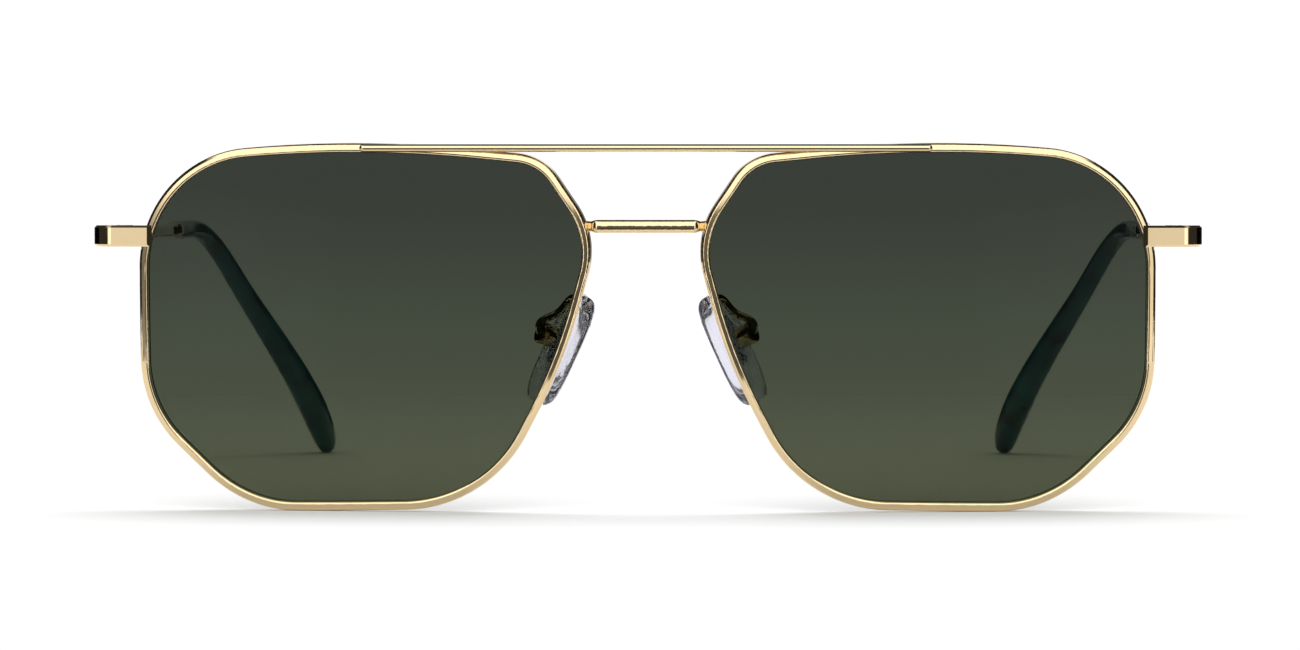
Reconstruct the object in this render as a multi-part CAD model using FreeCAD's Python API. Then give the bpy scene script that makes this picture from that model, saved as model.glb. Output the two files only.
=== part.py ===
import FreeCAD, Part
import math
import os

# Aviator sunglasses, all sizes in millimetres.
# X runs across the face, Y runs from the front towards the ears, Z is up.
# The pair stands open on its lower rims and its temple tips.

Vec = FreeCAD.Vector
LOOP_POINTS = 24
TINY = 1e-6
EDGE_SEARCH = 1e-4

# ---- overall sizes
LENS_WIDTH = 56.6
LENS_HEIGHT = 45.5
BRIDGE_GAP = 15.8
TEMPLE_LENGTH = 140.0
FRONT_OVERHANG = 7.3
LENS_SPACING = LENS_WIDTH + BRIDGE_GAP

# ---- lens and rim
LENS_RADIUS = 132.5
LENS_THICKNESS = 1.6
WRAP_ANGLE = 4.5
LEAN_ANGLE = 5.0
RIM_WIDTH = 1.15
RIM_PROUD = 0.3
RIM_DEPTH = 2.0
RIM_OUTER_ROUND = 0.48
RIM_INNER_ROUND = 0.3
RIM_BACK_ROUND = 0.25
GROOVE_DEPTH = 0.5
GROOVE_WIDTH = 0.9
LENS_EDGE_GAP = 0.04
RIM_SPLIT = 0.15
PRISM_BACK = -4.0
PRISM_LENGTH = 18.0

# Corners of the lens opening: across towards the temple, up, corner radius.
# They are drawn for an opening of DRAWN_WIDTH by DRAWN_HEIGHT.
DRAWN_WIDTH = 56.1
DRAWN_HEIGHT = 45.3
LENS_CORNERS = [
    (28.5, 20.2, 14.5),
    (0.0, 23.0, 150.0),
    (-22.0, 20.7, 6.0),
    (-28.4, 11.2, 10.0),
    (-24.4, -4.0, 70.0),
    (-14.8, -22.5, 17.0),
    (15.6, -23.2, 15.5),
    (28.4, -11.0, 14.0),
]

# ---- heights above the lens centre
HINGE_UP = 11.7
BRIDGE_UP = 12.8
BAR_BELOW_RIM_TOP = 0.58

# ---- brow bar and bridge
BAR_RADIUS = 0.5
BAR_PAST_LENS_MIDDLE = 0.6
BAR_SEAT = 0.12
BRIDGE_HEIGHT = 1.7
BRIDGE_DEPTH = 1.4
BRIDGE_FORWARD = 0.9
BRIDGE_SHAPE_POWER = 2.5
BRIDGE_PAST_LIMIT = 0.8
BRIDGE_SECTIONS = [
    # past the rim, share of the full section, share of the way forward
    (-0.50, 0.78, 0.00),
    (0.10, 0.80, 0.06),
    (0.40, 0.76, 0.30),
    (0.70, 0.84, 0.66),
    (1.00, 0.95, 0.92),
    (1.30, 0.995, 0.995),
    (1.60, 1.00, 1.00),
    (2.00, 1.00, 1.00),
    (2.60, 1.00, 1.00),
    (3.60, 1.00, 1.00),
    (5.20, 1.00, 1.00),
]

# ---- end piece
END_HEIGHT = 2.75
END_THICKNESS = 1.25
END_CORNER = 2.9
END_BEVEL = 0.3
END_PROUD = 0.55
END_SLOPE = 8.0
END_FACET = 0.6
END_LENS_OVERLAP = 0.15

# ---- closing block and its screw
BLOCK_ACROSS = 2.1
BLOCK_DEEP = 2.3
BLOCK_TALL = 1.1
BLOCK_LAP = 0.4
BLOCK_SINK = 0.2
BLOCK_CORNER = 0.6
SCREW_ACROSS_SHARE = 0.58
SCREW_DEEP_SHARE = 0.52
RIM_SCREW_RADIUS = 0.5
RIM_SCREW_HEAD = 0.75
RIM_SCREW_HEAD_TALL = 0.2

# ---- hinge
HINGE_SETBACK = 9.4
HINGE_INSET = 3.0
KNUCKLE_RADIUS = 1.3
KNUCKLE_TALL = 0.72
KNUCKLE_GAP = 0.06
HINGE_SWEEP_GAP = 0.12
BUTT_GAP = 0.06
LEAF_LENGTH = 4.4
LEAF_THICKNESS = 1.0
LEAF_HEIGHT = 2.1
WEB_LENGTH = 2.6
HINGE_SCREW_RADIUS = 0.65
HINGE_SCREW_HEAD = 1.05
HINGE_SCREW_HEAD_TALL = 0.2
SCREW_SLOT = 0.24
RUNNING_FIT = 0.04
SEAT_FIT = 0.01

# ---- temple
TEMPLE_STRAIGHT = 7.0
TEMPLE_TAPER_IN = 0.65
SLEEVE_START = 69.5
FERRULE_TALL = 2.6
FERRULE_THICK = 2.4
TEMPLE_SECTIONS = [
    # along, height, thickness, corner radius
    (0.0, END_HEIGHT, END_THICKNESS, 0.30),
    (9.0, 2.65, END_THICKNESS, 0.32),
    (22.0, 2.00, 1.30, 0.45),
    (40.0, 1.80, 1.30, 0.52),
    (62.0, 1.80, 1.35, 0.55),
    (66.0, 2.20, 1.90, 0.85),
    (67.5, FERRULE_TALL, FERRULE_THICK, 1.15),
    (69.5, FERRULE_TALL, FERRULE_THICK, 1.15),
]
CORE_RADIUS = 0.6
CORE_START_IN = 1.0
ROUND_POWER = 2.0

# ---- temple tip
BEND_RADIUS = 18.0
DROP_ANGLE = 50.0
TIP_INSET = 17.3
TIP_INSET_EASE = 0.9
INSET_LEAD = 7.0
TIP_SECTIONS = [
    # share of the tip's length, height, thickness
    (0.00, 2.65, 2.50),
    (0.35, 2.70, 2.60),
    (0.55, 3.20, 3.00),
    (0.75, 4.50, 3.80),
    (0.88, 5.20, 4.15),
    (0.94, 4.70, 3.75),
    (1.00, 3.30, 2.60),
]
TIP_MOUTH_ROUND = 0.15
TIP_SHAPE_POWER = 2.2
TIP_END_COVER = 9.0
TIP_END_TURNS = (20, 38, 54, 68, 80)
TIP_STEP = 4.0
DIRECTION_STEP = 0.05

# ---- nose pad
PAD_LENGTH = 15.4
PAD_WIDTH = 7.5
PAD_THICKNESS = 2.6
PAD_FROM_RIM = 2.2
PAD_BACK = 8.4
PAD_UP = -3.05
PAD_TILT = 24.5
PAD_SPLAY = 24.0
PAD_MOUNT_UP = 1.0
PAD_SHAPE_POWER = 3.2
PAD_LAYERS = [
    # share of the thickness, share of the width
    (0.00, 0.86),
    (0.08, 0.93),
    (0.25, 0.985),
    (0.45, 1.00),
    (0.68, 0.965),
    (0.85, 0.88),
    (0.96, 0.74),
    (1.00, 0.60),
]
PAD_BOX_GAP = 0.6
PAD_BOX_RADIUS = 1.5
PAD_BOX_DEEP = 2.1
PAD_BOX_FLOOR = 0.35
PAD_BOX_ROUND = 0.3
LUG_THICKNESS = 0.8
LUG_GAP = 0.1
LUG_RADIUS = 0.75
PAD_SCREW_RADIUS = 0.3
PAD_SCREW_HEAD = 0.55
PAD_SCREW_HEAD_TALL = 0.25
PAD_SCREW_SHORT = 0.05
INSERT_LENGTH = 7.0
INSERT_WIDTH = 3.2
INSERT_THICKNESS = 0.5
INSERT_COVER = 0.5
INSERT_SHAPE_POWER = 2.4
ARM_RADIUS = 0.5
ARM_SINK = 0.25
ARM_UP = 3.3
# Each bend of the pad arm is a move across, back and up from the point named first.
ARM_LEAVES_RIM = (0.4, 1.3, 0.25)
ARM_OUTWARD_BEND = (1.2, 0.9, -0.1)
ARM_RETURN_BEND = (0.3, -0.3, 0.3)
ARM_BEHIND_BOX = 0.55
ARM_ABOVE_BOX = 1.0


def flat(across, up):
    return Vec(across, 0, up)


def plan(across, back):
    return Vec(across, back, 0)


def rounded_loop(corners, lift):
    """Closed wire through corners (a, b, radius); lift turns (a, b) into a point."""
    edges = []
    starts = []
    ends = []
    middles = []
    count = len(corners)
    for i in range(count):
        here = Vec(corners[i][0], corners[i][1], 0)
        before = Vec(corners[i - 1][0], corners[i - 1][1], 0)
        after = Vec(corners[(i + 1) % count][0], corners[(i + 1) % count][1], 0)
        radius = corners[i][2]
        inward = here - before
        inward.normalize()
        onward = after - here
        onward.normalize()
        half_turn = inward.getAngle(onward) / 2
        reach = radius * math.tan(half_turn)
        middle = onward - inward
        if middle.Length > TINY:
            middle.normalize()
        starts.append(here - inward * reach)
        ends.append(here + onward * reach)
        middles.append(here + middle * radius * (1 / math.cos(half_turn) - 1))
    for i in range(count):
        start = lift(starts[i].x, starts[i].y)
        end = lift(ends[i].x, ends[i].y)
        following = lift(starts[(i + 1) % count].x, starts[(i + 1) % count].y)
        if corners[i][2] > 0:
            middle = lift(middles[i].x, middles[i].y)
            edges.append(Part.Arc(start, middle, end).toShape())
        if end.distanceToPoint(following) > TINY:
            edges.append(Part.makeLine(end, following))
    return Part.Wire(edges)


def lens_outline(grow):
    """Outline of the lens opening, moved outwards by grow."""
    across_scale = LENS_WIDTH / DRAWN_WIDTH
    up_scale = LENS_HEIGHT / DRAWN_HEIGHT
    points = [Vec(a * across_scale, b * up_scale, 0) for a, b, radius in LENS_CORNERS]
    corners = []
    for i, corner in enumerate(LENS_CORNERS):
        inward = points[i] - points[i - 1]
        inward.normalize()
        onward = points[(i + 1) % len(points)] - points[i]
        onward.normalize()
        first = Vec(inward.y, -inward.x, 0)
        second = Vec(onward.y, -onward.x, 0)
        moved = points[i] + (first + second) * (grow / (1 + first.dot(second)))
        radius = corner[2] * min(across_scale, up_scale) + grow
        corners.append((moved.x, moved.y, radius))
    return rounded_loop(corners, flat)


def outline_prism(grow):
    face = Part.Face(lens_outline(grow))
    face.translate(Vec(0, PRISM_BACK, 0))
    return face.extrude(Vec(0, PRISM_LENGTH, 0))


def outline_reach(grow, up):
    """Nose side and temple side positions of the outline at one height."""
    face = Part.Face(lens_outline(grow))
    line = Part.makeLine(Vec(-LENS_WIDTH, 0, up), Vec(LENS_WIDTH, 0, up))
    box = face.common(line).BoundBox
    return box.XMin, box.XMax


def dome(back):
    """Ball whose front surface lies the distance back behind the lens front."""
    return Part.makeSphere(LENS_RADIUS - back, Vec(0, LENS_RADIUS, 0))


def dome_depth(across, up, back):
    radius = LENS_RADIUS - back
    return LENS_RADIUS - math.sqrt(radius**2 - across**2 - up**2)


def domed_plate(grow, front, back):
    return outline_prism(grow).common(dome(front)).cut(dome(back))


def front_placement():
    """Place of the right lens: turned by the wrap, moved out, leaned about the hinge line."""
    turn = FreeCAD.Rotation(Vec(0, 0, 1), WRAP_ANGLE)
    wrap = FreeCAD.Placement(Vec(LENS_SPACING / 2, 0, 0), turn)
    lean = FreeCAD.Rotation(Vec(1, 0, 0), LEAN_ANGLE)
    pivot = Vec(0, 0, HINGE_UP)
    leaned = FreeCAD.Placement(pivot - lean.multVec(pivot), lean)
    return leaned.multiply(wrap)


def lens_point(across, back, up):
    """Point given on the right lens (across, distance behind its front, up)."""
    depth = dome_depth(across, up, back)
    return front_placement().multVec(Vec(across, depth, up))


def placed(shape):
    moved = shape.copy()
    moved.Placement = front_placement().multiply(moved.Placement)
    return moved


def mirrored(shape):
    return shape.mirror(Vec(0, 0, 0), Vec(1, 0, 0))


def edges_on(shape, wire, back):
    """Edges of a rim blank that lie on one wall outline and one domed face."""
    found = []
    centre = Vec(0, LENS_RADIUS, 0)
    for edge in shape.Edges:
        point = edge.valueAt((edge.FirstParameter + edge.LastParameter) / 2)
        away = abs(point.distanceToPoint(centre) - (LENS_RADIUS - back))
        beside = Part.Vertex(Vec(point.x, 0, point.z)).distToShape(wire)[0]
        if away < EDGE_SEARCH and beside < EDGE_SEARCH:
            found.append(edge)
    return found


def make_groove():
    """Room that the rim's groove leaves for the edge of the lens, as a full plate."""
    middle = LENS_THICKNESS / 2
    return domed_plate(GROOVE_DEPTH, middle - GROOVE_WIDTH / 2, middle + GROOVE_WIDTH / 2)


def make_rim_ring():
    """Rim before it is split beside the end piece."""
    ring = domed_plate(RIM_WIDTH, -RIM_PROUD, RIM_DEPTH - RIM_PROUD).cut(outline_prism(0))
    outer = lens_outline(RIM_WIDTH)
    inner = lens_outline(0)
    ring = ring.makeFillet(RIM_OUTER_ROUND, edges_on(ring, outer, -RIM_PROUD))
    ring = ring.makeFillet(RIM_INNER_ROUND, edges_on(ring, inner, -RIM_PROUD))
    ring = ring.makeFillet(RIM_BACK_ROUND, edges_on(ring, outer, RIM_DEPTH - RIM_PROUD))
    return placed(ring.cut(make_groove()))


def make_rim(ring):
    slot = Part.makeBox(LENS_WIDTH, PRISM_LENGTH, RIM_SPLIT)
    slot.translate(Vec(LENS_SPACING / 2, PRISM_BACK, HINGE_UP - RIM_SPLIT / 2))
    return ring.cut(slot)


def clear_of_rim(shape, ring):
    """Cut away what would lie in the rim, its groove or the lens, and keep the main piece."""
    glazed = placed(domed_plate(0, 0, LENS_THICKNESS))
    cut = shape.cut(ring).cut(placed(make_groove())).cut(glazed)
    return max(cut.Solids, key=lambda solid: solid.Volume)


def make_lens():
    body = domed_plate(-LENS_EDGE_GAP, 0, LENS_THICKNESS)
    middle = LENS_THICKNESS / 2
    half = GROOVE_WIDTH / 2 - LENS_EDGE_GAP
    tongue = domed_plate(GROOVE_DEPTH, middle - half, middle + half)
    return placed(body.fuse(tongue).removeSplitter())


def make_brow_bar(rings):
    top = lens_outline(RIM_WIDTH).BoundBox.ZMax - BAR_BELOW_RIM_TOP
    seat = lens_point(0, -RIM_PROUD, top)
    centre = Vec(seat.x, seat.y - BAR_RADIUS + BAR_SEAT, seat.z)
    half = centre.x + BAR_PAST_LENS_MIDDLE - BAR_RADIUS
    bar = Part.makeCylinder(BAR_RADIUS, 2 * half, Vec(-half, centre.y, centre.z), Vec(1, 0, 0))
    for side in (-1, 1):
        bar = bar.fuse(Part.makeSphere(BAR_RADIUS, Vec(side * half, centre.y, centre.z)))
    for ring in rings:
        bar = bar.cut(ring)
    return bar.removeSplitter()


def soft_section(centre, side, up, thick, tall, power):
    """Closed smooth curve between an ellipse (power 2) and a rounded box."""
    points = []
    for i in range(LOOP_POINTS):
        turn = 2 * math.pi * i / LOOP_POINTS
        across = math.copysign(abs(math.cos(turn)) ** (2 / power), math.cos(turn))
        rise = math.copysign(abs(math.sin(turn)) ** (2 / power), math.sin(turn))
        points.append(centre + side * (across * thick / 2) + up * (rise * tall / 2))
    curve = Part.BSplineCurve()
    curve.interpolate(points, PeriodicFlag=True)
    return Part.Wire([curve.toShape()])


def rounded_section(centre, side, up, thick, tall, corner):
    """Closed wire of a rectangle with rounded corners."""
    half_a = thick / 2
    half_b = tall / 2
    corners = [
        (half_a, half_b, corner),
        (-half_a, half_b, corner),
        (-half_a, -half_b, corner),
        (half_a, -half_b, corner),
    ]
    return rounded_loop(corners, lambda a, b: centre + side * a + up * b)


def section_axes(direction):
    """Sideways and upward axes square to a direction."""
    along = Vec(direction)
    along.normalize()
    side = Vec(1, 0, 0) - along * along.x
    side.normalize()
    return side, side.cross(along)


def make_bridge(rings):
    wall = outline_reach(RIM_WIDTH, BRIDGE_UP)[0]
    foot = lens_point(wall, RIM_DEPTH / 2 - RIM_PROUD, BRIDGE_UP)
    path = []
    for past, size, forward in BRIDGE_SECTIONS:
        if past < BRIDGE_PAST_LIMIT * foot.x:
            path.append((foot.x - past, foot.y - BRIDGE_FORWARD * forward, size))
    path = path + [(-across, back, size) for across, back, size in reversed(path)]
    wires = []
    for across, back, size in path:
        centre = Vec(across, back, foot.z)
        deep = BRIDGE_DEPTH * size
        tall = BRIDGE_HEIGHT * size
        wires.append(soft_section(centre, Vec(0, 1, 0), Vec(0, 0, 1), deep, tall, BRIDGE_SHAPE_POWER))
    bridge = Part.makeLoft(wires, True, False)
    for ring in rings:
        bridge = bridge.cut(ring)
    return max(bridge.Solids, key=lambda solid: solid.Volume)


def hinge_place():
    """Hinge axis at the height of the end piece, and the outer face of the bar there."""
    edge = lens_point(outline_reach(RIM_WIDTH, HINGE_UP)[1], 0, HINGE_UP)
    outer = LENS_SPACING / 2 + LENS_WIDTH / 2 + FRONT_OVERHANG
    return Vec(outer - HINGE_INSET, edge.y + HINGE_SETBACK, HINGE_UP), outer


def end_piece_corners():
    """Plan of the end piece as one closed bar: along its outer face, back along its inner face."""
    axis, outer = hinge_place()
    edge = outline_reach(0, HINGE_UP)[1]
    inner = lens_point(edge + END_LENS_OVERLAP, -RIM_PROUD, HINGE_UP)
    slope = math.tan(math.radians(END_SLOPE))
    front = inner.y - END_PROUD
    corner = front + (outer - inner.x) * slope
    deeper = END_THICKNESS / math.cos(math.radians(END_SLOPE))
    inside = outer - END_THICKNESS
    butt = axis.y - BUTT_GAP / 2
    return [
        (inner.x, front + END_FACET, 0),
        (inner.x + END_FACET, front + END_FACET * slope, 0),
        (outer, corner, END_CORNER),
        (outer, butt, 0),
        (inside, butt, 0),
        (inside, front + deeper + (inside - inner.x) * slope, END_CORNER - END_THICKNESS),
        (inner.x, front + deeper, 0),
    ]


def make_end_piece(ring):
    corners = end_piece_corners()
    bottom = hinge_place()[0].z - END_HEIGHT / 2
    face = Part.Face(rounded_loop(corners, plan))
    face.translate(Vec(0, 0, bottom))
    bar = face.extrude(Vec(0, 0, END_HEIGHT))
    outside = Part.makePolygon([Vec(x, y, 0) for x, y, radius in corners[1:4]])
    bevelled = []
    for edge in bar.Edges:
        point = edge.valueAt((edge.FirstParameter + edge.LastParameter) / 2)
        level = abs(edge.Vertexes[0].Z - edge.Vertexes[1].Z) < TINY
        beside = Part.Vertex(Vec(point.x, point.y, 0)).distToShape(outside)[0]
        if level and beside < END_CORNER / 2 and edge.Length > END_THICKNESS + END_BEVEL:
            bevelled.append(edge)
    bar = bar.makeChamfer(END_BEVEL, bevelled)
    return clear_of_rim(bar, ring)


def make_hole(radius, middle):
    """Upright cylinder, longer than any piece here is tall."""
    return Part.makeCylinder(radius, 4 * END_HEIGHT, middle - Vec(0, 0, 2 * END_HEIGHT))


def block_place():
    """Inner front corner of the closing block, behind the end piece and beside the rim."""
    wall = lens_point(outline_reach(RIM_WIDTH, HINGE_UP)[1], RIM_DEPTH / 2 - RIM_PROUD, HINGE_UP)
    corners = end_piece_corners()
    inner = Vec(corners[6][0], corners[6][1], 0)
    slope = math.tan(math.radians(END_SLOPE))
    return Vec(wall.x - BLOCK_LAP, inner.y + (wall.x - inner.x) * slope - BLOCK_SINK, HINGE_UP)


def rim_screw_line():
    corner = block_place()
    across = BLOCK_LAP + BLOCK_ACROSS * SCREW_ACROSS_SHARE
    deep = BLOCK_SINK + BLOCK_DEEP * SCREW_DEEP_SHARE
    return corner + Vec(across, deep, 0)


def make_rim_blocks(ring, end_piece):
    """Upper and lower halves of the block that closes the rim around the lens."""
    corner = block_place()
    line = rim_screw_line()
    blocks = []
    for level in (RIM_SPLIT / 2, -RIM_SPLIT / 2 - BLOCK_TALL):
        block = Part.makeBox(BLOCK_ACROSS + BLOCK_LAP, BLOCK_DEEP + BLOCK_SINK, BLOCK_TALL)
        block.translate(Vec(corner.x, corner.y, corner.z + level))
        free_corner = []
        for edge in block.Edges:
            first, second = edge.Vertexes
            if first.Z != second.Z and first.X > line.x and first.Y > line.y:
                free_corner.append(edge)
        block = block.makeFillet(BLOCK_CORNER, free_corner)
        hole = make_hole(RIM_SCREW_RADIUS + SEAT_FIT, line)
        blocks.append(clear_of_rim(block.cut(end_piece).cut(hole), ring))
    return blocks


def make_rim_screw():
    line = rim_screw_line()
    foot = line.z - RIM_SPLIT / 2 - BLOCK_TALL
    length = RIM_SPLIT + 2 * BLOCK_TALL
    shank = Part.makeCylinder(RIM_SCREW_RADIUS, length, Vec(line.x, line.y, foot))
    head_foot = Vec(line.x, line.y, foot - RIM_SCREW_HEAD_TALL)
    head = Part.makeCylinder(RIM_SCREW_HEAD, RIM_SCREW_HEAD_TALL, head_foot)
    slot = Part.makeBox(4 * RIM_SCREW_HEAD, SCREW_SLOT, RIM_SCREW_HEAD_TALL / 2)
    slot.translate(head_foot - Vec(2 * RIM_SCREW_HEAD, SCREW_SLOT / 2, 0))
    return shank.fuse(head).cut(slot).removeSplitter()


def knuckle_levels():
    """Bottom of each of the three knuckles, lowest first."""
    middle = hinge_place()[0].z
    step = KNUCKLE_TALL + KNUCKLE_GAP
    return [middle + step * number - KNUCKLE_TALL / 2 for number in (-1, 0, 1)]


def make_hinge_leaf(way, own, bar):
    """One leaf of the hinge: way is -1 for the front leaf and 1 for the temple leaf."""
    axis, outer = hinge_place()
    levels = knuckle_levels()
    seat = outer - END_THICKNESS
    near = BUTT_GAP / 2
    plate = Part.makeBox(LEAF_THICKNESS, LEAF_LENGTH - near, LEAF_HEIGHT)
    start = axis.y + near if way > 0 else axis.y - LEAF_LENGTH
    plate.translate(Vec(seat - LEAF_THICKNESS, start, axis.z - LEAF_HEIGHT / 2))
    for number, level in enumerate(levels):
        if number in own:
            continue
        sweep = Part.makeCylinder(
            KNUCKLE_RADIUS + HINGE_SWEEP_GAP,
            KNUCKLE_TALL + 2 * KNUCKLE_GAP,
            Vec(axis.x, axis.y, level - KNUCKLE_GAP),
        )
        plate = plate.cut(sweep)
    leaf = plate
    for number in own:
        web = Part.makeBox(seat - axis.x, WEB_LENGTH - near, KNUCKLE_TALL)
        web_start = axis.y + near if way > 0 else axis.y - WEB_LENGTH
        web.translate(Vec(axis.x, web_start, levels[number]))
        barrel = Part.makeCylinder(KNUCKLE_RADIUS, KNUCKLE_TALL, Vec(axis.x, axis.y, levels[number]))
        leaf = leaf.fuse(web).fuse(barrel)
    fit = SEAT_FIT if way < 0 else RUNNING_FIT
    hole = make_hole(HINGE_SCREW_RADIUS + fit, axis)
    leaf = leaf.cut(hole).cut(bar).removeSplitter()
    return max(leaf.Solids, key=lambda solid: solid.Volume)


def make_hinge_screw():
    axis = hinge_place()[0]
    levels = knuckle_levels()
    top = levels[2] + KNUCKLE_TALL
    shank = Part.makeCylinder(HINGE_SCREW_RADIUS, top - levels[0], Vec(axis.x, axis.y, levels[0]))
    head = Part.makeCylinder(HINGE_SCREW_HEAD, HINGE_SCREW_HEAD_TALL, Vec(axis.x, axis.y, top))
    slot = Part.makeBox(4 * HINGE_SCREW_HEAD, SCREW_SLOT, HINGE_SCREW_HEAD_TALL / 2)
    slot_height = top + HINGE_SCREW_HEAD_TALL / 2
    slot.translate(Vec(axis.x - 2 * HINGE_SCREW_HEAD, axis.y - SCREW_SLOT / 2, slot_height))
    return shank.fuse(head).cut(slot).removeSplitter()


def temple_run(floor):
    """Lengths of the three runs of the temple in side view: straight, bend and drop."""
    axis = hinge_place()[0]
    turn = math.radians(DROP_ANGLE)
    after_bend = axis.z - BEND_RADIUS * (1 - math.cos(turn))
    end_round = TIP_SECTIONS[-1][1] / 2
    drop = (after_bend - floor - end_round) / math.sin(turn) + end_round
    bend = BEND_RADIUS * turn
    return TEMPLE_LENGTH - bend - drop, bend, drop


def temple_point(along, runs):
    """Centre of the temple at a distance behind the hinge, measured in side view."""
    axis, outer = hinge_place()
    straight, bend, drop = runs
    turn = math.radians(DROP_ANGLE)
    back = min(along, straight)
    fall = 0.0
    if along > straight:
        angle = min((along - straight) / BEND_RADIUS, turn)
        back += BEND_RADIUS * math.sin(angle)
        fall += BEND_RADIUS * (1 - math.cos(angle))
    if along > straight + bend:
        back += (along - straight - bend) * math.cos(turn)
        fall += (along - straight - bend) * math.sin(turn)
    inward = 0.0
    if along > TEMPLE_STRAIGHT:
        inward = TEMPLE_TAPER_IN * min(1, (along - TEMPLE_STRAIGHT) / (SLEEVE_START - TEMPLE_STRAIGHT))
    lead = straight - INSET_LEAD
    if along > lead:
        share = (along - lead) / (TEMPLE_LENGTH - lead)
        sweep = math.pi * TIP_INSET_EASE
        inward += TIP_INSET * (1 - math.cos(sweep * share)) / (1 - math.cos(sweep))
    return Vec(outer - END_THICKNESS / 2 - inward, axis.y + back, axis.z - fall)


def temple_direction(along, runs):
    return temple_point(along + DIRECTION_STEP, runs) - temple_point(along - DIRECTION_STEP, runs)


def table_row(table, place):
    """Row of a section table at a place between two of its rows."""
    for first, second in zip(table, table[1:]):
        if first[0] <= place <= second[0]:
            share = (place - first[0]) / (second[0] - first[0])
            return [a + (b - a) * share for a, b in zip(first[1:], second[1:])]
    return list(table[-1][1:])


def make_core(runs):
    """Wire core that runs on from the metal temple inside the tip."""
    wires = []
    along = SLEEVE_START - CORE_START_IN
    last = TEMPLE_LENGTH - TIP_END_COVER
    count = int((last - along) / TIP_STEP) + 1
    for i in range(count + 1):
        here = along + (last - along) * i / count
        side, up = section_axes(temple_direction(here, runs))
        centre = temple_point(here, runs)
        wires.append(soft_section(centre, side, up, 2 * CORE_RADIUS, 2 * CORE_RADIUS, ROUND_POWER))
    return Part.makeLoft(wires, True, False)


def make_temple(runs):
    wires = []
    for along, tall, thick, corner in TEMPLE_SECTIONS:
        centre = temple_point(max(along, BUTT_GAP / 2), runs)
        wires.append(rounded_section(centre, Vec(1, 0, 0), Vec(0, 0, 1), thick, tall, corner))
    bar = Part.makeLoft(wires, True, True)
    return bar.fuse(make_core(runs)).removeSplitter()


def make_tip(runs, temple):
    """Temple tip: a sleeve that widens towards a rounded end."""
    total = TEMPLE_LENGTH - SLEEVE_START
    end_round = TIP_SECTIONS[-1][1] / 2
    count = int((total - end_round) / TIP_STEP)
    stations = [SLEEVE_START + (total - end_round) * i / count for i in range(count + 1)]
    sizes = [1.0] * len(stations)
    for turn in TIP_END_TURNS:
        stations.append(TEMPLE_LENGTH - end_round * (1 - math.sin(math.radians(turn))))
        sizes.append(math.cos(math.radians(turn)))
    wires = []
    for along, size in zip(stations, sizes):
        tall, thick = table_row(TIP_SECTIONS, (along - SLEEVE_START) / total)
        side, up = section_axes(temple_direction(along, runs))
        centre = temple_point(along, runs)
        wires.append(soft_section(centre, side, up, thick * size, tall * size, TIP_SHAPE_POWER))
    tip = Part.makeLoft(wires, True, False)
    behind_mouth = temple_point(SLEEVE_START + TIP_STEP / 2, runs).y
    mouth = [edge for edge in tip.Edges if edge.BoundBox.YMax < behind_mouth]
    return tip.makeFillet(TIP_MOUTH_ROUND, mouth).cut(temple)


def arm_root():
    """Point in the back of the rim where the pad arm is soldered on."""
    nose_side = outline_reach(RIM_WIDTH / 2, ARM_UP)[0]
    return lens_point(nose_side, RIM_DEPTH - RIM_PROUD - ARM_SINK, ARM_UP)


def pad_centre():
    return Vec(arm_root().x + PAD_FROM_RIM, PAD_BACK, PAD_UP)


def pad_axes():
    """Axes of the right nose pad: up its length, across its width, and out of its soft face."""
    tilt = math.radians(PAD_TILT)
    splay = math.radians(PAD_SPLAY)
    up = Vec(-math.sin(tilt), 0, math.cos(tilt))
    out = Vec(-math.cos(tilt) * math.cos(splay), math.sin(splay), -math.sin(tilt) * math.cos(splay))
    return up, out.cross(up), out


def pad_placement(along, height):
    """Placement with Z out of the pad face and X up the pad, moved along and out."""
    up, width, out = pad_axes()
    centre = pad_centre() + up * along + out * height
    matrix = FreeCAD.Matrix(
        up.x, width.x, out.x, centre.x,
        up.y, width.y, out.y, centre.y,
        up.z, width.z, out.z, centre.z,
        0, 0, 0, 1,
    )
    return FreeCAD.Placement(matrix)


def on_pad(shape, along=0.0, height=0.0):
    moved = shape.copy()
    moved.Placement = pad_placement(along, height).multiply(moved.Placement)
    return moved


def pad_screw_drop():
    """Distance of the pad screw behind the middle of the pad."""
    slot = PAD_BOX_DEEP - PAD_BOX_FLOOR
    return PAD_THICKNESS / 2 + PAD_BOX_GAP + slot - LUG_GAP - LUG_RADIUS


def make_insert():
    """Stiff insert moulded into the pad, with the lug that the screw holds."""
    base_height = -PAD_THICKNESS / 2 + INSERT_COVER
    middle = Vec(0, 0, base_height)
    long = Vec(1, 0, 0)
    wide = Vec(0, 1, 0)
    outline = soft_section(middle, long, wide, INSERT_LENGTH, INSERT_WIDTH, INSERT_SHAPE_POWER)
    base = Part.Face(outline).extrude(Vec(0, 0, INSERT_THICKNESS))
    drop = pad_screw_drop()
    lug = Part.makeCylinder(LUG_RADIUS, LUG_THICKNESS, Vec(0, -LUG_THICKNESS / 2, -drop), Vec(0, 1, 0))
    neck = Part.makeBox(2 * LUG_RADIUS, LUG_THICKNESS, drop + base_height + INSERT_THICKNESS / 2)
    neck.translate(Vec(-LUG_RADIUS, -LUG_THICKNESS / 2, -drop))
    hole_radius = PAD_SCREW_RADIUS + RUNNING_FIT
    hole_start = Vec(0, -2 * LUG_THICKNESS, -drop)
    hole = Part.makeCylinder(hole_radius, 4 * LUG_THICKNESS, hole_start, Vec(0, 1, 0))
    insert = base.fuse(lug).fuse(neck).cut(hole).removeSplitter()
    return on_pad(insert, PAD_MOUNT_UP)


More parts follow.
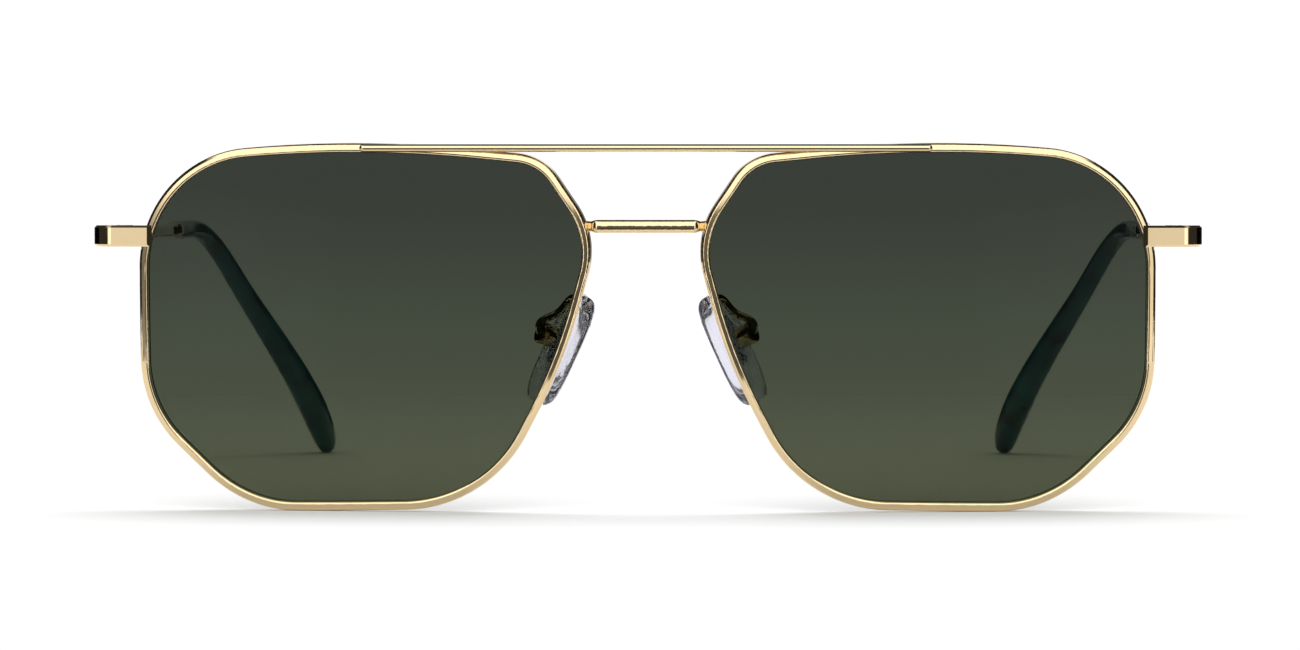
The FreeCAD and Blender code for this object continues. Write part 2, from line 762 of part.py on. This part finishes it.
def make_pad(insert):
    """Soft pad: rounded slab, fuller near its back and domed on the side of the nose."""
    wires = []
    for share, size in PAD_LAYERS:
        middle = Vec(0, 0, (share - 0.5) * PAD_THICKNESS)
        length = PAD_LENGTH - PAD_WIDTH * (1 - size)
        width = PAD_WIDTH * size
        wires.append(soft_section(middle, Vec(1, 0, 0), Vec(0, 1, 0), length, width, PAD_SHAPE_POWER))
    pad = on_pad(Part.makeLoft(wires, True, False))
    return pad.cut(insert)


def make_pad_screw():
    drop = pad_screw_drop()
    half = PAD_BOX_RADIUS - PAD_SCREW_SHORT
    shank = Part.makeCylinder(PAD_SCREW_RADIUS, 2 * half, Vec(0, -half, -drop), Vec(0, 1, 0))
    head = Part.makeCylinder(PAD_SCREW_HEAD, PAD_SCREW_HEAD_TALL, Vec(0, half, -drop), Vec(0, 1, 0))
    return on_pad(shank.fuse(head).removeSplitter(), PAD_MOUNT_UP)


def make_pad_box(screw):
    """Round cup with a slot that takes the lug of the pad."""
    top = -PAD_THICKNESS / 2 - PAD_BOX_GAP
    cup = Part.makeCylinder(PAD_BOX_RADIUS, PAD_BOX_DEEP, Vec(0, 0, top - PAD_BOX_DEEP))
    foot = [edge for edge in cup.Edges if abs(edge.BoundBox.ZMax - top + PAD_BOX_DEEP) < TINY]
    cup = cup.makeFillet(PAD_BOX_ROUND, foot)
    width = LUG_THICKNESS + 2 * LUG_GAP
    slot = Part.makeBox(4 * PAD_BOX_RADIUS, width, PAD_BOX_DEEP - PAD_BOX_FLOOR)
    slot.translate(Vec(-2 * PAD_BOX_RADIUS, -width / 2, top - PAD_BOX_DEEP + PAD_BOX_FLOOR))
    return on_pad(cup.cut(slot), PAD_MOUNT_UP).cut(screw)


def make_pad_arm(ring, box):
    """Bent wire from the back of the rim to the floor of the pad box."""
    up, width, out = pad_axes()
    floor = PAD_THICKNESS / 2 + PAD_BOX_GAP + PAD_BOX_DEEP
    foot = pad_centre() + up * PAD_MOUNT_UP - out * (floor - PAD_BOX_FLOOR / 2)
    root = arm_root()
    half_back = (root.y + foot.y) / 2
    behind_rim = root + Vec(*ARM_LEAVES_RIM)
    outward_bend = Vec(root.x, half_back, root.z) + Vec(*ARM_OUTWARD_BEND)
    return_bend = Vec((root.x + foot.x) / 2, foot.y, (root.z + foot.z) / 2) + Vec(*ARM_RETURN_BEND)
    above_box = foot - out * ARM_BEHIND_BOX + up * ARM_ABOVE_BOX
    points = [root, behind_rim, outward_bend, return_bend, above_box, foot]
    curve = Part.BSplineCurve()
    curve.interpolate(points)
    path = Part.Wire([curve.toShape()])
    start = curve.tangent(curve.FirstParameter)[0]
    circle = Part.Wire([Part.makeCircle(ARM_RADIUS, root, start)])
    arm = path.makePipeShell([circle], True, False)
    return clear_of_rim(arm.cut(box), ring)


def build_parts():
    """Every piece of the sunglasses by name, before they are set on the floor."""
    ring = make_rim_ring()
    runs = temple_run(ring.optimalBoundingBox(False, False).ZMin)
    end_piece = make_end_piece(ring)
    upper_block, lower_block = make_rim_blocks(ring, end_piece)
    temple = make_temple(runs)
    insert = make_insert()
    pad_screw = make_pad_screw()
    pad_box = make_pad_box(pad_screw)
    one_side = {
        "rim": make_rim(ring),
        "lens": make_lens(),
        "end_piece": end_piece,
        "rim_block_upper": upper_block,
        "rim_block_lower": lower_block,
        "rim_screw": make_rim_screw(),
        "front_hinge": make_hinge_leaf(-1, (0, 2), end_piece),
        "temple_hinge": make_hinge_leaf(1, (1,), temple),
        "hinge_screw": make_hinge_screw(),
        "temple": temple,
        "temple_tip": make_tip(runs, temple),
        "pad_arm": make_pad_arm(ring, pad_box),
        "pad_box": pad_box,
        "pad_screw": pad_screw,
        "pad_insert": insert,
        "nose_pad": make_pad(insert),
    }
    parts = {}
    for name, shape in one_side.items():
        parts[name + "_right"] = shape
        parts[name + "_left"] = mirrored(shape)
    rings = [ring, mirrored(ring)]
    parts["brow_bar"] = make_brow_bar(rings)
    parts["bridge"] = make_bridge(rings)
    return parts


def floor_shift(parts):
    """Move that puts the middle of the bottom of the whole pair at the origin."""
    box = Part.makeCompound(list(parts.values())).optimalBoundingBox(False, False)
    return Vec(-(box.XMin + box.XMax) / 2, -(box.YMin + box.YMax) / 2, -box.ZMin)


def main():
    parts = build_parts()
    shift = floor_shift(parts)
    os.makedirs("parts", exist_ok=True)
    for name, shape in parts.items():
        solid = shape.Solids[0].copy()
        solid.translate(shift)
        solid.exportStep("parts/" + name + ".step")


if __name__ == "__main__":
    main()
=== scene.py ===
import math

import bpy
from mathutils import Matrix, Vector


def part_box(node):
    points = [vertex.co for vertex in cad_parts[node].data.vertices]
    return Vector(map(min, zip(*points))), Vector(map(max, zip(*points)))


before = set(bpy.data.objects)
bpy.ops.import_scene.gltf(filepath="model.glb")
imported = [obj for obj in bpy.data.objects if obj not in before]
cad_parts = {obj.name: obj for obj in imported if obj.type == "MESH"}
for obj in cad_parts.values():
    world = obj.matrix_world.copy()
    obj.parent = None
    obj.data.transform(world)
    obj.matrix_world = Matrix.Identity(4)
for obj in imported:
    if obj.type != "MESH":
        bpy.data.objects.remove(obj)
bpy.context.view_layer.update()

bl_info = {
    "name": "Aviator Sunglasses",
    "version": (1, 0, 0),
    "blender": (4, 5, 0),
    "location": "View3D > Sidebar > Sunglasses",
    "description": "Finishes the metal, lenses, temple tips and nose pads of a pair of sunglasses",
    "category": "Object",
}

SIDES = ("left", "right")
MM = 0.001

# A low index of refraction stands in for the coating that kills most of the lens's reflections.
LENS_IOR = 1.1
# Share of the lens's height at which the middle and the top colour of the dye are reached.
DYE_MIDDLE = 0.45
DYE_TOP = 0.9

# In metres: half the width of the paper table, and how far it reaches ahead of and behind the lenses.
TABLE_HALF = 0.25
TABLE_AHEAD = 0.05
TABLE_BEHIND = 0.34
# In metres: how far the softbox hangs behind the lenses and above the table, and its two sides.
SOFTBOX_BACK = 0.17
SOFTBOX_UP = 0.55
SOFTBOX_SIZE = (0.9, 0.35)
# The camera's sensor, in millimetres, and the nearest thing that it sees, in metres.
SENSOR_WIDTH = 36.0
CLIP_START = 0.01

PURE_WHITE = (1, 1, 1, 1)
# What every colour in the settings has in common.
COLOUR = {"subtype": "COLOR", "size": 4, "min": 0.0, "max": 1.0}


# ---- helpers


def linear(hex_text):
    """An sRGB hex colour as the linear RGBA that shaders take."""
    parts = [int(hex_text[i:i + 2], 16) / 255 for i in (1, 3, 5)]
    return [c / 12.92 if c <= 0.04045 else ((c + 0.055) / 1.055) ** 2.4 for c in parts] + [1.0]


def add_node(tree, kind, settings=None, numbered=(), **links):
    """Adds a node, sets its own settings and input values, and links its inputs in order or by name."""
    made = tree.nodes.new(kind)
    for key, value in (settings or {}).items():
        if key in made.bl_rna.properties:
            setattr(made, key, value)
        else:
            made.inputs[key].default_value = value
    for number, source in enumerate(numbered):
        tree.links.new(source, made.inputs[number])
    for key, source in links.items():
        tree.links.new(source, made.inputs[key.replace("_", " ")])
    return made


def new_material(name):
    """A material with an empty node tree, and that tree."""
    material = bpy.data.materials.new(name)
    material.use_nodes = True
    material.node_tree.nodes.clear()
    return material, material.node_tree


def finish_material(tree, shader):
    add_node(tree, "ShaderNodeOutputMaterial", Surface=shader.outputs[0])


def finish_clear_material(tree, shader, through):
    """Lets light that only casts a shadow take the transparent way; every other ray meets the shader."""
    path = add_node(tree, "ShaderNodeLightPath")
    ways = (path.outputs["Is Shadow Ray"], shader.outputs[0], through.outputs[0])
    finish_material(tree, add_node(tree, "ShaderNodeMixShader", numbered=ways))


def dress(names, material):
    """Puts a material on every slot of the named CAD nodes."""
    for name in names:
        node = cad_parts[name]
        for slot in node.material_slots:
            slot.material = material


def both(*stems):
    """The names of the left and the right piece for each stem."""
    return [stem + "_" + side for stem in stems for side in SIDES]


# ---- materials


def polished_gold(name, colour, roughness):
    """Nickel alloy, buffed and plated pale gold: long clean reflections with a faint wave."""
    material, tree = new_material(name)
    place = add_node(tree, "ShaderNodeTexCoord").outputs["Object"]
    # The plating bath leaves the tint very slightly uneven over about 6 mm.
    drift = add_node(tree, "ShaderNodeTexNoise", {"Scale": 1 / (6 * MM), "Detail": 2.0}, Vector=place)
    tint = add_node(tree, "ShaderNodeValToRGB", Fac=drift.outputs["Fac"])
    tint.color_ramp.elements[0].color = [c * 0.93 for c in colour[:3]] + [1.0]
    tint.color_ramp.elements[1].color = colour
    # Buffing haze in patches of 2.5 mm varies the gloss.
    haze = add_node(tree, "ShaderNodeTexNoise", {"Scale": 1 / (2.5 * MM), "Detail": 2.0}, Vector=place)
    limits = {"To Min": roughness * 0.8, "To Max": roughness * 1.25}
    gloss = add_node(tree, "ShaderNodeMapRange", limits, Value=haze.outputs["Fac"])
    # The wave left by the buffing wheel: 1.5 mm long, and less than a micron deep at this strength.
    wave = add_node(tree, "ShaderNodeTexNoise", {"Scale": 1 / (1.5 * MM), "Detail": 1.0}, Vector=place)
    depth = {"Strength": 0.2, "Distance": 0.002 * MM}
    bump = add_node(tree, "ShaderNodeBump", depth, Height=wave.outputs["Fac"])
    shader = add_node(
        tree, "ShaderNodeBsdfPrincipled", {"Metallic": 1.0},
        Base_Color=tint.outputs["Color"], Roughness=gloss.outputs["Result"], Normal=bump.outputs["Normal"],
    )
    finish_material(tree, shader)
    return material


def turned_screw(name, colour):
    """Gold-plated turned steel: fine marks from the lathe dull the heads a little."""
    material, tree = new_material(name)
    place = add_node(tree, "ShaderNodeTexCoord").outputs["Object"]
    # Tool marks 0.15 mm apart and a few microns deep vary the gloss too.
    marks = add_node(tree, "ShaderNodeTexNoise", {"Scale": 1 / (0.15 * MM), "Detail": 2.0}, Vector=place)
    gloss = add_node(tree, "ShaderNodeMapRange", {"To Min": 0.16, "To Max": 0.3}, Value=marks.outputs["Fac"])
    depth = {"Strength": 0.5, "Distance": 0.004 * MM}
    bump = add_node(tree, "ShaderNodeBump", depth, Height=marks.outputs["Fac"])
    shader = add_node(
        tree, "ShaderNodeBsdfPrincipled", {"Metallic": 1.0, "Base Color": colour},
        Roughness=gloss.outputs["Result"], Normal=bump.outputs["Normal"],
    )
    finish_material(tree, shader)
    return material


def tinted_lens(name, top, middle, bottom, low, high):
    """Clear lens resin with a grey-green dye that is densest at the top, and an anti-glare coating."""
    material, tree = new_material(name)
    place = add_node(tree, "ShaderNodeTexCoord").outputs["Object"]
    height = add_node(tree, "ShaderNodeSeparateXYZ", Vector=place).outputs["Z"]
    rise = add_node(tree, "ShaderNodeMapRange", {"From Min": low, "From Max": high}, Value=height)
    dye = add_node(tree, "ShaderNodeValToRGB", Fac=rise.outputs["Result"])
    dye.color_ramp.elements[1].position = DYE_TOP
    dye.color_ramp.elements.new(DYE_MIDDLE).color = middle
    dye.color_ramp.elements[0].color = bottom
    dye.color_ramp.elements[2].color = top
    # Moulded resin isn't perfectly flat: a swell about 9 mm long, far below a micron deep.
    swell = add_node(tree, "ShaderNodeTexNoise", {"Scale": 1 / (9 * MM), "Detail": 0.0}, Vector=place)
    depth = {"Strength": 0.2, "Distance": 0.001 * MM}
    bump = add_node(tree, "ShaderNodeBump", depth, Height=swell.outputs["Fac"])
    shader = add_node(
        tree, "ShaderNodeBsdfPrincipled", {"Roughness": 0.0, "IOR": LENS_IOR, "Transmission Weight": 1.0},
        Base_Color=dye.outputs["Color"], Normal=bump.outputs["Normal"],
    )
    through = add_node(tree, "ShaderNodeBsdfTransparent", Color=dye.outputs["Color"])
    finish_clear_material(tree, shader, through)
    return material


def petrol_acetate(name, deep, light):
    """Polished acetate sheet in dark petrol: cloudy colour under a wet gloss."""
    material, tree = new_material(name)
    place = add_node(tree, "ShaderNodeTexCoord").outputs["Object"]
    # The pressed sheet is clouded in streaks a few millimetres wide along the temple.
    streak = add_node(tree, "ShaderNodeMapping", {"Scale": (1.0, 0.25, 1.0)}, Vector=place)
    cloud = add_node(
        tree, "ShaderNodeTexNoise", {"Scale": 1 / (3 * MM), "Detail": 3.0, "Distortion": 0.6},
        Vector=streak.outputs["Vector"],
    )
    tint = add_node(tree, "ShaderNodeValToRGB", Fac=cloud.outputs["Fac"])
    tint.color_ramp.elements[0].position = 0.3
    tint.color_ramp.elements[0].color = deep
    tint.color_ramp.elements[1].position = 0.75
    tint.color_ramp.elements[1].color = light
    # Hand polishing leaves faint sub-millimetre marks.
    marks = add_node(tree, "ShaderNodeTexNoise", {"Scale": 1 / (0.4 * MM), "Detail": 3.0}, Vector=place)
    gloss = add_node(tree, "ShaderNodeMapRange", {"To Min": 0.12, "To Max": 0.26}, Value=marks.outputs["Fac"])
    depth = {"Strength": 0.3, "Distance": 0.003 * MM}
    bump = add_node(tree, "ShaderNodeBump", depth, Height=marks.outputs["Fac"])
    shader = add_node(
        tree, "ShaderNodeBsdfPrincipled", {"IOR": 1.48, "Coat Weight": 0.3, "Coat Roughness": 0.08},
        Base_Color=tint.outputs["Color"], Roughness=gloss.outputs["Result"], Normal=bump.outputs["Normal"],
    )
    finish_material(tree, shader)
    return material


def clear_moulding(name, colour, ior, smoothest, roughest, grain):
    """Clear moulded silicone or plastic with a cool cast; the grain of its skin is given in millimetres."""
    material, tree = new_material(name)
    place = add_node(tree, "ShaderNodeTexCoord").outputs["Object"]
    skin = add_node(tree, "ShaderNodeTexNoise", {"Scale": 1 / (grain * MM), "Detail": 2.0}, Vector=place)
    limits = {"To Min": smoothest, "To Max": roughest}
    gloss = add_node(tree, "ShaderNodeMapRange", limits, Value=skin.outputs["Fac"])
    depth = {"Strength": 0.3, "Distance": 0.01 * MM}
    bump = add_node(tree, "ShaderNodeBump", depth, Height=skin.outputs["Fac"])
    shader = add_node(
        tree, "ShaderNodeBsdfPrincipled", {"IOR": ior, "Transmission Weight": 1.0, "Base Color": colour},
        Roughness=gloss.outputs["Result"], Normal=bump.outputs["Normal"],
    )
    through = add_node(tree, "ShaderNodeBsdfTransparent", {"Color": colour})
    finish_clear_material(tree, shader, through)
    return material


def studio_white(name, glow):
    """Matt white paper that glows a little, so that the table's far edge fades into the backdrop."""
    material, tree = new_material(name)
    place = add_node(tree, "ShaderNodeTexCoord").outputs["Object"]
    # Faint cloudiness of the paper pulp, about 60 mm across.
    fibre = add_node(tree, "ShaderNodeTexNoise", {"Scale": 1 / (60 * MM), "Detail": 1.0}, Vector=place)
    tone = add_node(tree, "ShaderNodeValToRGB", Fac=fibre.outputs["Fac"])
    tone.color_ramp.elements[0].color = linear("#e6e6e6")
    tone.color_ramp.elements[1].color = linear("#e9e9e9")
    settings = {
        "Roughness": 0.9, "Specular IOR Level": 0.0,
        "Emission Color": PURE_WHITE, "Emission Strength": glow,
    }
    shader = add_node(tree, "ShaderNodeBsdfPrincipled", settings, Base_Color=tone.outputs["Color"])
    finish_material(tree, shader)
    return material


def graded_room(name, white, middle, wings, edges, side, ceiling, below):
    """A room that is plain white to the camera, and that reflections see as graded walls.

    Reflections meet a dim wall behind the camera between two bright wings, a bright ceiling that
    is dark overhead, dark sides, little light from below, and a white strip behind the object.
    """
    world = bpy.data.worlds.new(name)
    world.use_nodes = True
    tree = world.node_tree
    tree.nodes.clear()
    way = add_node(tree, "ShaderNodeTexCoord").outputs["Generated"]
    axes = add_node(tree, "ShaderNodeSeparateXYZ", Vector=way).outputs
    across = add_node(tree, "ShaderNodeMath", {"operation": "ABSOLUTE"}, (axes["X"],)).outputs[0]
    # How a grade joins the ones before it, the direction it runs along, the two places between
    # which it changes, and its levels there. The first way to join in each table isn't used.
    front_grades = (
        ("MAXIMUM", across, 0.28, 0.36, middle, wings),
        ("MAXIMUM", across, 0.38, 0.48, 0.0, edges),
        ("MAXIMUM", axes["Z"], 0.03, 0.09, 0.0, ceiling),
        ("MULTIPLY", axes["Z"], 0.9, 0.97, 1.0, side),
        ("MULTIPLY", axes["Z"], -0.45, -0.28, below, 1.0),
        ("MULTIPLY", across, 0.6, 0.68, 1.0, side),
        ("MULTIPLY", axes["Y"], 0.0, 0.2, 1.0, side),
    )
    back_grades = (
        ("MAXIMUM", axes["Y"], 0.85, 0.93, 0.0, white),
        ("MULTIPLY", across, 0.12, 0.25, 1.0, 0.0),
    )
    walls = []
    for grades in (front_grades, back_grades):
        levels = []
        for joins, source, start, end, low, high in grades:
            settings = {
                "interpolation_type": "SMOOTHSTEP",
                "From Min": start, "From Max": end, "To Min": low, "To Max": high,
            }
            levels.append(add_node(tree, "ShaderNodeMapRange", settings, Value=source).outputs["Result"])
            if len(levels) == 2:
                levels = [add_node(tree, "ShaderNodeMath", {"operation": joins}, levels).outputs[0]]
        walls.extend(levels)
    level = add_node(tree, "ShaderNodeMath", {"operation": "MAXIMUM"}, walls).outputs[0]
    # Rays from the camera, straight or through a lens, see plain white, and all others the walls.
    path = add_node(tree, "ShaderNodeLightPath").outputs
    seen = (path["Is Camera Ray"], path["Is Transmission Ray"])
    direct = add_node(tree, "ShaderNodeMath", {"operation": "MAXIMUM"}, seen).outputs[0]
    gloss_share = add_node(tree, "ShaderNodeMath", {"operation": "SUBTRACT", "use_clamp": True})
    gloss_share.inputs[0].default_value = 1.0
    tree.links.new(direct, gloss_share.inputs[1])
    gloss_glow = add_node(tree, "ShaderNodeMath", {"operation": "MULTIPLY"}, (gloss_share.outputs[0], level))
    strength = add_node(tree, "ShaderNodeMath", {"operation": "MULTIPLY_ADD"})
    tree.links.new(direct, strength.inputs[0])
    strength.inputs[1].default_value = white
    tree.links.new(gloss_glow.outputs[0], strength.inputs[2])
    glow = add_node(tree, "ShaderNodeBackground", {"Color": PURE_WHITE}, Strength=strength.outputs[0])
    add_node(tree, "ShaderNodeOutputWorld", Surface=glow.outputs[0])
    return world


# ---- settings


class SunglassesFinish(bpy.types.PropertyGroup):
    """Colours and gloss of the sunglasses."""

    gold: bpy.props.FloatVectorProperty(
        name="Gold", description="Plating of the frame", default=linear("#e7cfa4"), **COLOUR
    )
    gold_roughness: bpy.props.FloatProperty(
        name="Gold roughness", description="How hazy the plating is", default=0.08,
        min=0.0, max=1.0, subtype="FACTOR",
    )
    screw: bpy.props.FloatVectorProperty(
        name="Screws", description="Plating of the screws", default=linear("#c9ab78"), **COLOUR
    )
    lens_top: bpy.props.FloatVectorProperty(
        name="Lens top", description="Dye at the top edge", default=linear("#373b35"), **COLOUR
    )
    lens_middle: bpy.props.FloatVectorProperty(
        name="Lens middle", description="Dye half way up", default=linear("#454c3f"), **COLOUR
    )
    lens_bottom: bpy.props.FloatVectorProperty(
        name="Lens bottom", description="Dye at the bottom edge", default=linear("#4f5341"), **COLOUR
    )
    tip_deep: bpy.props.FloatVectorProperty(
        name="Tip dark", description="Darker petrol of the tips", default=linear("#071c21"), **COLOUR
    )
    tip_light: bpy.props.FloatVectorProperty(
        name="Tip light", description="Lighter petrol of the tips", default=linear("#237a80"), **COLOUR
    )
    pad: bpy.props.FloatVectorProperty(
        name="Nose pad", description="Cast of the clear silicone", default=linear("#e9e8f4"), **COLOUR
    )
    insert: bpy.props.FloatVectorProperty(
        name="Pad insert", description="Cast of the stiff insert", default=linear("#c9cfe2"), **COLOUR
    )


class SunglassesStudio(bpy.types.PropertyGroup):
    """Camera and light of the studio."""

    distance: bpy.props.FloatProperty(
        name="Camera distance", description="From the front of the lenses", default=0.6, unit="LENGTH"
    )
    height: bpy.props.FloatProperty(
        name="Camera height", description="Above the table", default=0.042, unit="LENGTH"
    )
    yaw: bpy.props.FloatProperty(
        name="Camera turn", description="Swing round the sunglasses", default=math.radians(1.2),
        unit="ROTATION",
    )
    pitch: bpy.props.FloatProperty(
        name="Camera tilt", description="Tilt downwards", default=math.radians(1.69), unit="ROTATION"
    )
    aside: bpy.props.FloatProperty(
        name="Camera aside", description="Sideways move along the front", default=0.00058, unit="LENGTH"
    )
    lens: bpy.props.FloatProperty(
        name="Focal length", description="In millimetres on a 36 mm sensor", default=129.9, min=20.0
    )
    white: bpy.props.FloatProperty(
        name="Backdrop", description="Brightness behind the object", default=1.03, min=0.0
    )
    glow: bpy.props.FloatProperty(
        name="Table glow", description="Even light of the table", default=0.08, min=0.0
    )
    middle: bpy.props.FloatProperty(
        name="Front level", description="Brightness of the wall behind the camera", default=0.12
    )
    wings: bpy.props.FloatProperty(
        name="Wing level", description="Brightness beside the camera", default=1.0
    )
    edges: bpy.props.FloatProperty(
        name="Edge level", description="Brightness at the wings' far edges", default=1.7
    )
    side: bpy.props.FloatProperty(
        name="Side level", description="Share of light left at the sides and straight up", default=0.02
    )
    ceiling: bpy.props.FloatProperty(
        name="Ceiling level", description="Brightness above the camera", default=1.7
    )
    below: bpy.props.FloatProperty(
        name="Lower level", description="Share of light left below", default=0.1
    )
    key: bpy.props.FloatProperty(
        name="Top light", description="Power of the softbox overhead", default=3.4, unit="POWER"
    )


# ---- operators


class OBJECT_OT_gold_frame(bpy.types.Operator):
    """Gives rims, brow bar, bridge, end pieces, hinges, temples and pad arms their polished plating"""

    bl_idname = "object.gold_frame"
    bl_label = "Gold frame"

    def execute(self, context):
        look = context.scene.sunglasses_finish
        gold = polished_gold("Pale gold plating, buffed", look.gold, look.gold_roughness)
        names = ["brow_bar", "bridge"] + both(
            "rim", "end_piece", "rim_block_upper", "rim_block_lower", "front_hinge", "temple_hinge",
            "temple", "pad_arm", "pad_box",
        )
        dress(names, gold)
        return {"FINISHED"}


class OBJECT_OT_screws(bpy.types.Operator):
    """Gives the hinge, rim and pad screws their turned finish"""

    bl_idname = "object.sunglasses_screws"
    bl_label = "Screws"

    def execute(self, context):
        look = context.scene.sunglasses_finish
        steel = turned_screw("Turned steel, gold plated", look.screw)
        dress(both("hinge_screw", "rim_screw", "pad_screw"), steel)
        return {"FINISHED"}


class OBJECT_OT_lenses(bpy.types.Operator):
    """Gives the two lenses their graded grey-green tint"""

    bl_idname = "object.sunglasses_lenses"
    bl_label = "Lenses"

    def execute(self, context):
        look = context.scene.sunglasses_finish
        low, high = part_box("lens_right")
        resin = tinted_lens(
            "Dyed lens resin, grey green", look.lens_top, look.lens_middle, look.lens_bottom, low.z, high.z
        )
        dress(both("lens"), resin)
        return {"FINISHED"}


class OBJECT_OT_temple_tips(bpy.types.Operator):
    """Gives the temple tips their polished acetate"""

    bl_idname = "object.temple_tips"
    bl_label = "Temple tips"

    def execute(self, context):
        look = context.scene.sunglasses_finish
        acetate = petrol_acetate("Polished acetate, petrol", look.tip_deep, look.tip_light)
        dress(both("temple_tip"), acetate)
        return {"FINISHED"}


class OBJECT_OT_nose_pads(bpy.types.Operator):
    """Gives the nose pads and their inserts their clear plastics"""

    bl_idname = "object.nose_pads"
    bl_label = "Nose pads"

    def execute(self, context):
        look = context.scene.sunglasses_finish
        silicone = clear_moulding(
            "Clear silicone, moulded", look.pad, ior=1.33, smoothest=0.03, roughest=0.1, grain=1.2
        )
        dress(both("nose_pad"), silicone)
        stiff = clear_moulding(
            "Clear polycarbonate, moulded", look.insert, ior=1.58, smoothest=0.1, roughest=0.2, grain=0.6
        )
        dress(both("pad_insert"), stiff)
        return {"FINISHED"}


def make_table(name, low, high, material):
    """Lays a flat rectangle between two corners at height zero, where the sunglasses stand."""
    mesh = bpy.data.meshes.new(name)
    corners = [(low[0], low[1], 0), (high[0], low[1], 0), (high[0], high[1], 0), (low[0], high[1], 0)]
    mesh.from_pydata(corners, [], [(0, 1, 2, 3)])
    mesh.materials.append(material)
    table = bpy.data.objects.new(name, mesh)
    bpy.context.scene.collection.objects.link(table)


def make_softbox(name, place, target, size, power):
    """Hangs a rectangular light that faces a target."""
    data = bpy.data.lights.new(name, "AREA")
    data.shape = "RECTANGLE"
    data.size, data.size_y = size
    data.energy = power
    light = bpy.data.objects.new(name, data)
    light.location = place
    light.rotation_euler = (Vector(target) - Vector(place)).to_track_quat("-Z", "Y").to_euler()
    # The softbox stays out of reflections, which come from the graded room.
    light.visible_glossy = False
    bpy.context.scene.collection.objects.link(light)


class OBJECT_OT_studio(bpy.types.Operator):
    """Sets up the white paper table, the softbox, the graded room and the camera"""

    bl_idname = "object.sunglasses_studio"
    bl_label = "Studio"

    def execute(self, context):
        studio = context.scene.sunglasses_studio
        scene = context.scene
        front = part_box("lens_right")[0].y
        near = front - TABLE_AHEAD
        far = front + TABLE_BEHIND
        paper = studio_white("White paper table", studio.glow)
        make_table("paper_table", (-TABLE_HALF, near), (TABLE_HALF, far), paper)
        hung = (0, front + SOFTBOX_BACK, SOFTBOX_UP)
        make_softbox("softbox_top", hung, (0, front, 0), SOFTBOX_SIZE, studio.key)
        scene.world = graded_room(
            "White room", studio.white, studio.middle, studio.wings, studio.edges,
            studio.side, studio.ceiling, studio.below,
        )
        data = bpy.data.cameras.new("camera")
        data.sensor_width = SENSOR_WIDTH
        data.lens = studio.lens
        data.clip_start = CLIP_START
        camera = bpy.data.objects.new("camera", data)
        scene.collection.objects.link(camera)
        ahead = Vector((-math.sin(studio.yaw), math.cos(studio.yaw), 0))
        beside = Vector((math.cos(studio.yaw), math.sin(studio.yaw), 0))
        aimed_at = Vector((0, front, studio.height))
        camera.location = aimed_at - ahead * studio.distance + beside * studio.aside
        view = ahead * math.cos(studio.pitch) - Vector((0, 0, math.sin(studio.pitch)))
        camera.rotation_euler = view.to_track_quat("-Z", "Y").to_euler()
        scene.camera = camera
        scene.view_settings.view_transform = "Standard"
        return {"FINISHED"}


class VIEW3D_PT_sunglasses(bpy.types.Panel):
    """Shows the settings of the finish and of the studio, and a button for each step"""

    bl_idname = "VIEW3D_PT_sunglasses"
    bl_label = "Sunglasses"
    bl_space_type = "VIEW_3D"
    bl_region_type = "UI"
    bl_category = "Sunglasses"

    def draw(self, context):
        layout = self.layout
        for group in (context.scene.sunglasses_finish, context.scene.sunglasses_studio):
            box = layout.box()
            for key in group.__annotations__:
                box.prop(group, key)
        for operator in STEPS:
            layout.operator(operator.bl_idname)


STEPS = (
    OBJECT_OT_gold_frame, OBJECT_OT_screws, OBJECT_OT_lenses, OBJECT_OT_temple_tips,
    OBJECT_OT_nose_pads, OBJECT_OT_studio,
)
CLASSES = (SunglassesFinish, SunglassesStudio) + STEPS + (VIEW3D_PT_sunglasses,)


def register():
    for item in CLASSES:
        bpy.utils.register_class(item)
    bpy.types.Scene.sunglasses_finish = bpy.props.PointerProperty(type=SunglassesFinish)
    bpy.types.Scene.sunglasses_studio = bpy.props.PointerProperty(type=SunglassesStudio)


def unregister():
    del bpy.types.Scene.sunglasses_studio
    del bpy.types.Scene.sunglasses_finish
    for item in reversed(CLASSES):
        bpy.utils.unregister_class(item)


def main():
    register()
    bpy.ops.object.gold_frame()
    bpy.ops.object.sunglasses_screws()
    bpy.ops.object.sunglasses_lenses()
    bpy.ops.object.temple_tips()
    bpy.ops.object.nose_pads()
    bpy.ops.object.sunglasses_studio()


if __name__ == "__main__":
    main()
